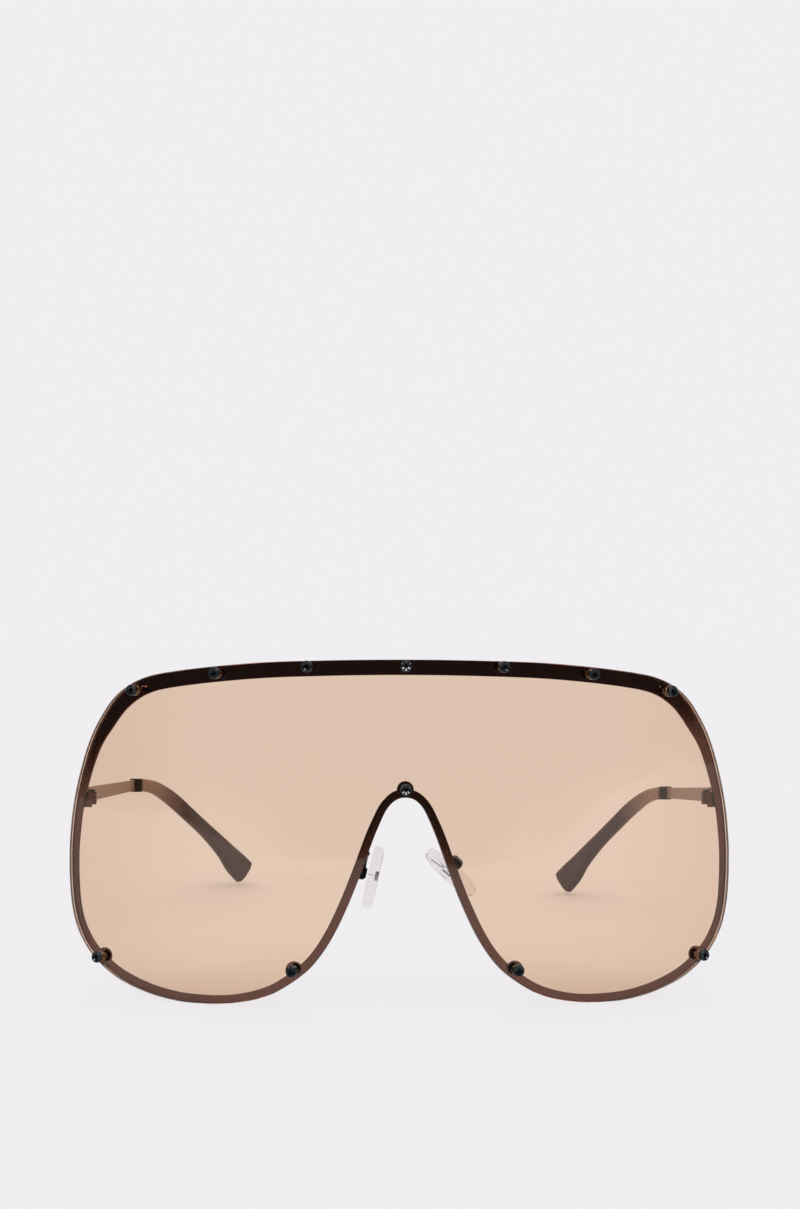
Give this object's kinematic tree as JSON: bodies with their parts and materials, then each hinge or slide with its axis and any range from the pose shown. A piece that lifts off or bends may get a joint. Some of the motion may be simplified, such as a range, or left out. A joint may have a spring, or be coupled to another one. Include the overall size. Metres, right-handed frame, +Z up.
{
  "type": "shield sunglasses",
  "caption": "Wrapped shield sunglasses on a thin metal band, with lens screws, screw hinges, thin metal temples with bent tip sleeves, and rocking nose pads.",
  "frame": {"origin": "on the table, under the middle of the overall box, with the temples open", "axes": "+Z up, the lens towards -Y, the temples running back to +Y, the wearer's right-hand side at -X"},
  "size_m": [0.1556, 0.1626, 0.0782],
  "materials": {
    "lens_tint": "polished tinted lens",
    "dark_metal": "dark brown satin plating",
    "screw_black": "glossy black",
    "bushing_clear": "clear amber",
    "temple_metal": "satin brown",
    "collar_metal": "dark satin",
    "tip_acetate": "glossy dark brown",
    "pad_silicone": "clear",
    "core_metal": "satin"
  },
  "bodies": {
    "front": {"lens": "lens_tint", "front_frame": "dark_metal", "lens_screw_01": "screw_black", "lens_screw_02": "screw_black", "lens_screw_03": "screw_black", "lens_screw_04": "screw_black", "lens_screw_05": "screw_black", "lens_screw_06": "screw_black", "lens_screw_07": "screw_black", "lens_screw_08": "screw_black", "lens_screw_09": "screw_black", "lens_screw_10": "screw_black", "lens_screw_11": "screw_black", "lens_screw_12": "screw_black", "lens_bushing_01": "bushing_clear", "lens_bushing_02": "bushing_clear", "lens_bushing_03": "bushing_clear", "lens_bushing_04": "bushing_clear", "lens_bushing_05": "bushing_clear", "lens_bushing_06": "bushing_clear", "lens_bushing_07": "bushing_clear", "lens_bushing_08": "bushing_clear", "lens_bushing_09": "bushing_clear", "lens_bushing_10": "bushing_clear", "lens_bushing_11": "bushing_clear", "lens_bushing_12": "bushing_clear", "end_piece_left": "dark_metal", "hinge_screw_left": "screw_black", "pad_arm_left": "dark_metal", "pad_box_left": "dark_metal", "pad_pin_left": "screw_black", "end_piece_right": "dark_metal", "hinge_screw_right": "screw_black", "pad_arm_right": "dark_metal", "pad_box_right": "dark_metal", "pad_pin_right": "screw_black"},
    "temple_left_body": {"temple_hinge_left": "dark_metal", "temple_band_left": "temple_metal", "collar_left": "collar_metal", "collar_screw_left": "screw_black", "tip_left": "tip_acetate"},
    "temple_right_body": {"temple_hinge_right": "dark_metal", "temple_band_right": "temple_metal", "collar_right": "collar_metal", "collar_screw_right": "screw_black", "tip_right": "tip_acetate"},
    "nose_pad_left_body": {"nose_pad_left": "pad_silicone", "pad_core_left": "core_metal"},
    "nose_pad_right_body": {"nose_pad_right": "pad_silicone", "pad_core_right": "core_metal"}
  },
  "joints": [
    {"name": "temple_left", "type": "hinge", "parent": "front", "child": "temple_left_body", "pos_m": [-0.0729, -0.05146, 0.04409], "axis": [0, -0.0785, -0.9969], "range_deg": [0, 78]},
    {"name": "temple_right", "type": "hinge", "parent": "front", "child": "temple_right_body", "pos_m": [0.07216, -0.05146, 0.04409], "axis": [0, 0.0785, 0.9969], "range_deg": [0, 78]},
    {"name": "nose_pad_left", "type": "hinge", "parent": "front", "child": "nose_pad_left_body", "pos_m": [-0.00977, -0.0696, 0.02912], "axis": [0.0681, 0.9933, -0.0934], "range_deg": [-10, 10]},
    {"name": "nose_pad_right", "type": "hinge", "parent": "front", "child": "nose_pad_right_body", "pos_m": [0.01153, -0.06962, 0.03143], "axis": [-0.1844, -0.9744, -0.1288], "range_deg": [-10, 10]}
  ]
}
